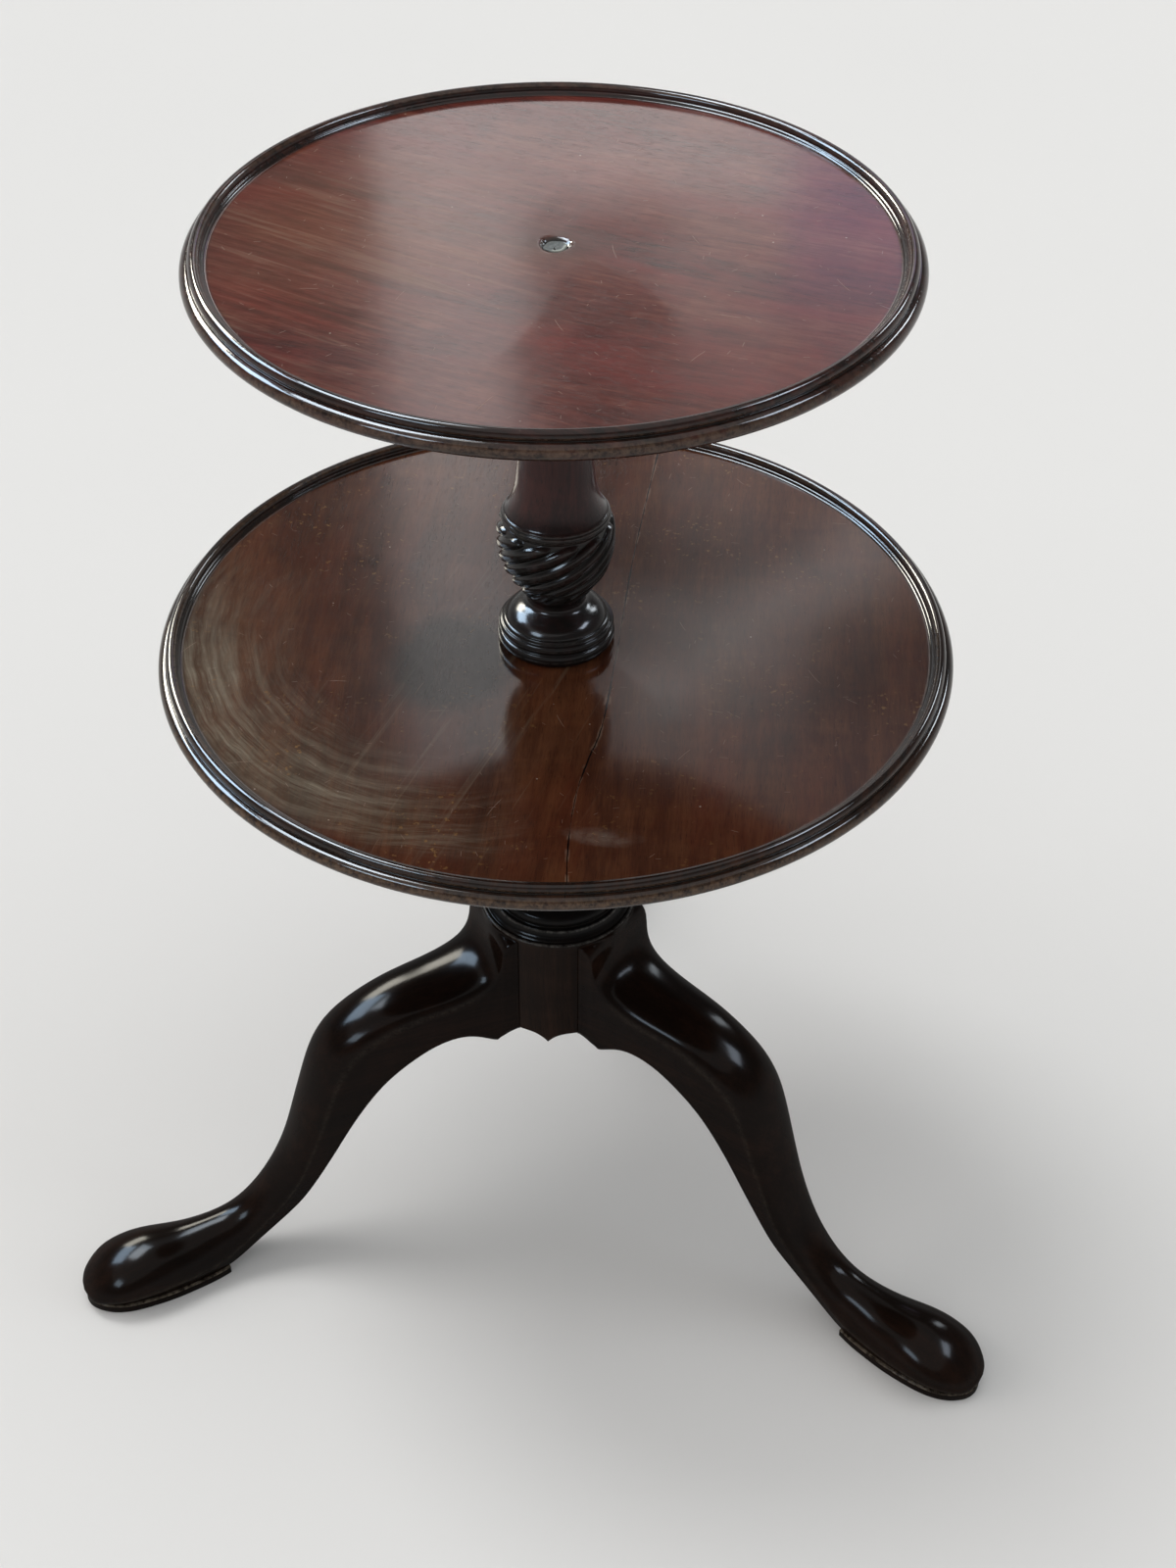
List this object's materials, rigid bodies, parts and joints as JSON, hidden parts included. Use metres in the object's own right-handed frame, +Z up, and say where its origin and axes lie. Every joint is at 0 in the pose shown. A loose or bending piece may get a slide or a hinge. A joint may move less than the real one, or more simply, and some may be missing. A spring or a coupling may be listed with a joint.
{
  "type": "dumbwaiter table",
  "caption": "Mahogany dumbwaiter table: round dished trays that revolve on a turned column with a spiral-carved urn, on cabriole legs with pad feet.",
  "frame": {"origin": "on the floor, on the axis of the turned column", "axes": "+Z up the column; one leg points along +Y, away from the viewer, and the other two point forward to the left and right"},
  "size_m": [0.7106, 0.6841, 0.8505],
  "materials": {
    "top_tray_wood": "satin",
    "lower_tray_wood": "satin",
    "turned_wood": "polished",
    "leg_wood": "polished",
    "bearer_wood": "dull",
    "plug_wood": "dull",
    "wrought_iron": "forged",
    "steel_screws": "aged",
    "leather_washer": "worn"
  },
  "bodies": {
    "stand": {"base_column": "turned_wood", "leg_left": "leg_wood", "leg_right": "leg_wood", "leg_back": "leg_wood", "leg_bracket": "wrought_iron", "bracket_screws": "steel_screws", "lower_washer": "leather_washer", "upper_column": "turned_wood", "top_washer": "leather_washer", "top_pivot": "steel_screws"},
    "lower_tray": {"lower_tier": "lower_tray_wood", "lower_bearer": "bearer_wood", "lower_bearer_screws": "steel_screws"},
    "top_tray": {"top_tier": "top_tray_wood", "top_bearer": "bearer_wood", "top_bearer_screws": "steel_screws", "filler_plug": "plug_wood"}
  },
  "joints": [
    {"name": "lower_tier_spin", "type": "hinge", "parent": "stand", "child": "lower_tray", "pos_m": [0, 0, 0.5], "axis": [0, 0, 1], "continuous": true},
    {"name": "top_tier_spin", "type": "hinge", "parent": "stand", "child": "top_tray", "pos_m": [0, 0, 0.811], "axis": [0, 0, 1], "continuous": true}
  ]
}
